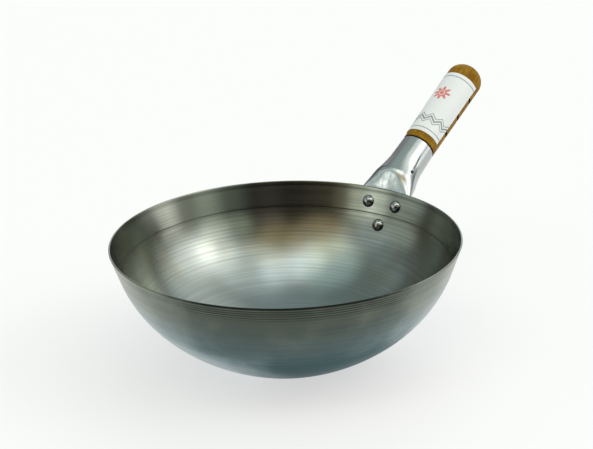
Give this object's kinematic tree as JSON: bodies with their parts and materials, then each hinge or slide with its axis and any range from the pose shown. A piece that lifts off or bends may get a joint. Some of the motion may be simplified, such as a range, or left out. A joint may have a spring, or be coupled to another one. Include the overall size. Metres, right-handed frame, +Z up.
{
  "type": "wok",
  "caption": "Deep spun carbon-steel wok with a small flat foot and one raised handle: a sheet-steel tube socket riveted to the wall, holding a turned wooden grip.",
  "frame": {"origin": "centre of the flat foot, on the surface that the wok stands on", "axes": "+Z up along the bowl's axis, +X level towards the handle"},
  "size_m": [0.4561, 0.305, 0.1987],
  "materials": {
    "bowl_steel": "spun, lightly oiled",
    "socket_steel": "bright rolled sheet",
    "rivet_steel": "hammered dome",
    "grip_wood": "turned and varnished",
    "nail_steel": "plain",
    "label_paper": "coated"
  },
  "bodies": {
    "root": {"bowl": "bowl_steel", "handle_socket": "socket_steel", "rivet_upper_left": "rivet_steel", "rivet_upper_right": "rivet_steel", "rivet_lower": "rivet_steel", "wooden_grip": "grip_wood", "grip_nail": "nail_steel", "paper_label": "label_paper"}
  },
  "joints": []
}
